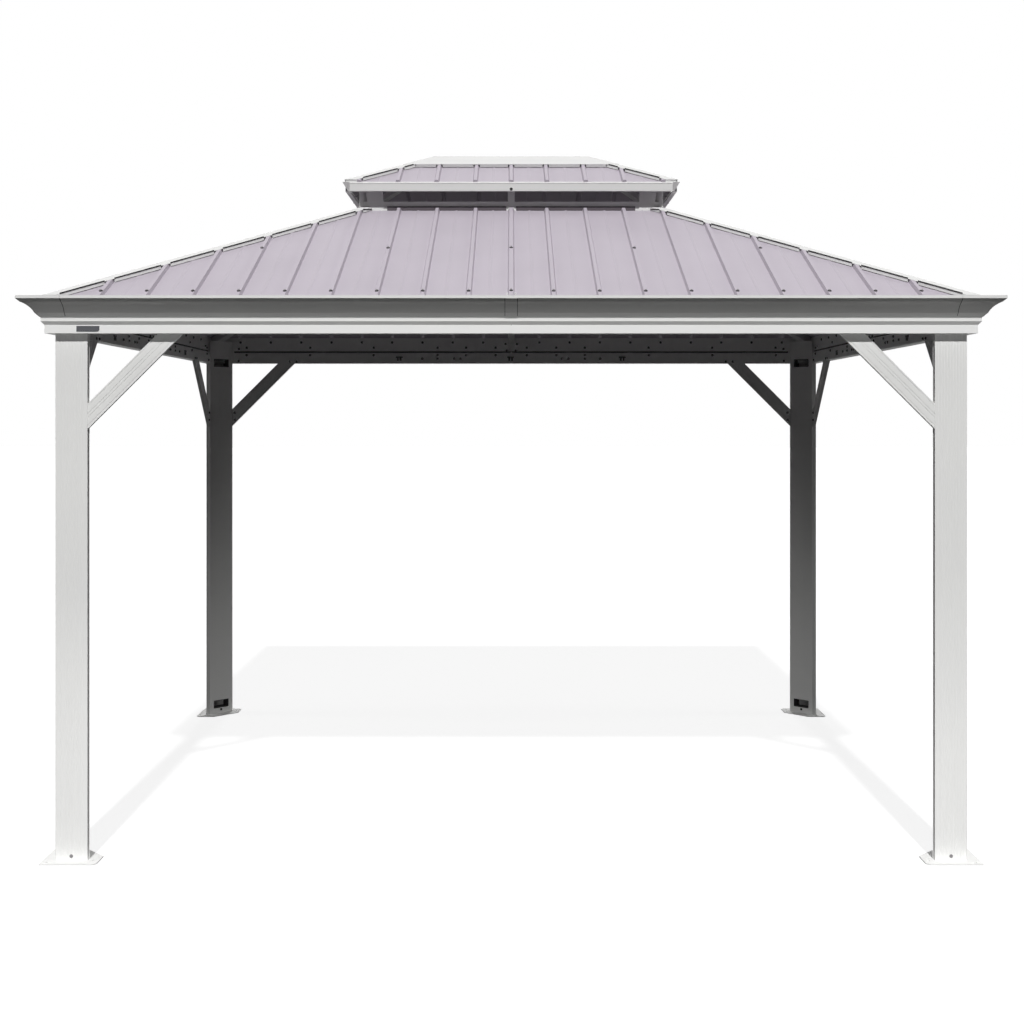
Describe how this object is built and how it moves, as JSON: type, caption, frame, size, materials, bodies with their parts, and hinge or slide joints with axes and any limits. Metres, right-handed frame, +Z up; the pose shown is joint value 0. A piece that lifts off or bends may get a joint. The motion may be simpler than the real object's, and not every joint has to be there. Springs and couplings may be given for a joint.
{
  "type": "metal gazebo",
  "caption": "Free-standing metal gazebo: fluted corner posts, knee braces, gutter-topped eave beams and a vented double hip roof of ribbed sheets.",
  "frame": {"origin": "on the ground at the middle of the footprint, between the undersides of the base plates", "axes": "+X to the right along the ridge, +Y from the front to the back, +Z up"},
  "size_m": [3.65, 2.923, 2.9083],
  "materials": {
    "frame_paint": "light grey powder coat on aluminium extrusions",
    "inner_frame": "light grey powder coat on steel tube",
    "roof_sheet": "lilac-grey coated galvanised steel sheet",
    "fastener": "zinc-plated steel",
    "name_plate": "blank dark plate"
  },
  "bodies": {
    "root": {"post_front_left": "frame_paint", "post_front_right": "frame_paint", "post_back_right": "frame_paint", "post_back_left": "frame_paint", "post_covers": "frame_paint", "base_plates": "frame_paint", "front_knee_braces": "frame_paint", "right_knee_braces": "frame_paint", "back_knee_braces": "frame_paint", "left_knee_braces": "frame_paint", "front_beam": "frame_paint", "right_beam": "frame_paint", "back_beam": "frame_paint", "left_beam": "frame_paint", "front_gutter": "frame_paint", "right_gutter": "frame_paint", "back_gutter": "frame_paint", "left_gutter": "frame_paint", "gutter_corners": "frame_paint", "gutter_splices": "frame_paint", "lower_hip_rafters": "inner_frame", "centre_rafters": "inner_frame", "purlins": "inner_frame", "front_roof": "roof_sheet", "right_roof": "roof_sheet", "back_roof": "roof_sheet", "left_roof": "roof_sheet", "roof_seam_covers": "roof_sheet", "lower_hip_caps": "frame_paint", "vent_long_rails": "inner_frame", "vent_end_rails": "inner_frame", "vent_uprights": "inner_frame", "vent_corner_plates": "inner_frame", "vent_struts": "inner_frame", "upper_fascia_rails": "frame_paint", "upper_fascia_corners": "frame_paint", "ridge_beam": "inner_frame", "upper_hip_rafters": "inner_frame", "upper_front_roof": "roof_sheet", "upper_right_roof": "roof_sheet", "upper_back_roof": "roof_sheet", "upper_left_roof": "roof_sheet", "upper_hip_caps": "frame_paint", "ridge_cap": "frame_paint"}
  },
  "joints": []
}
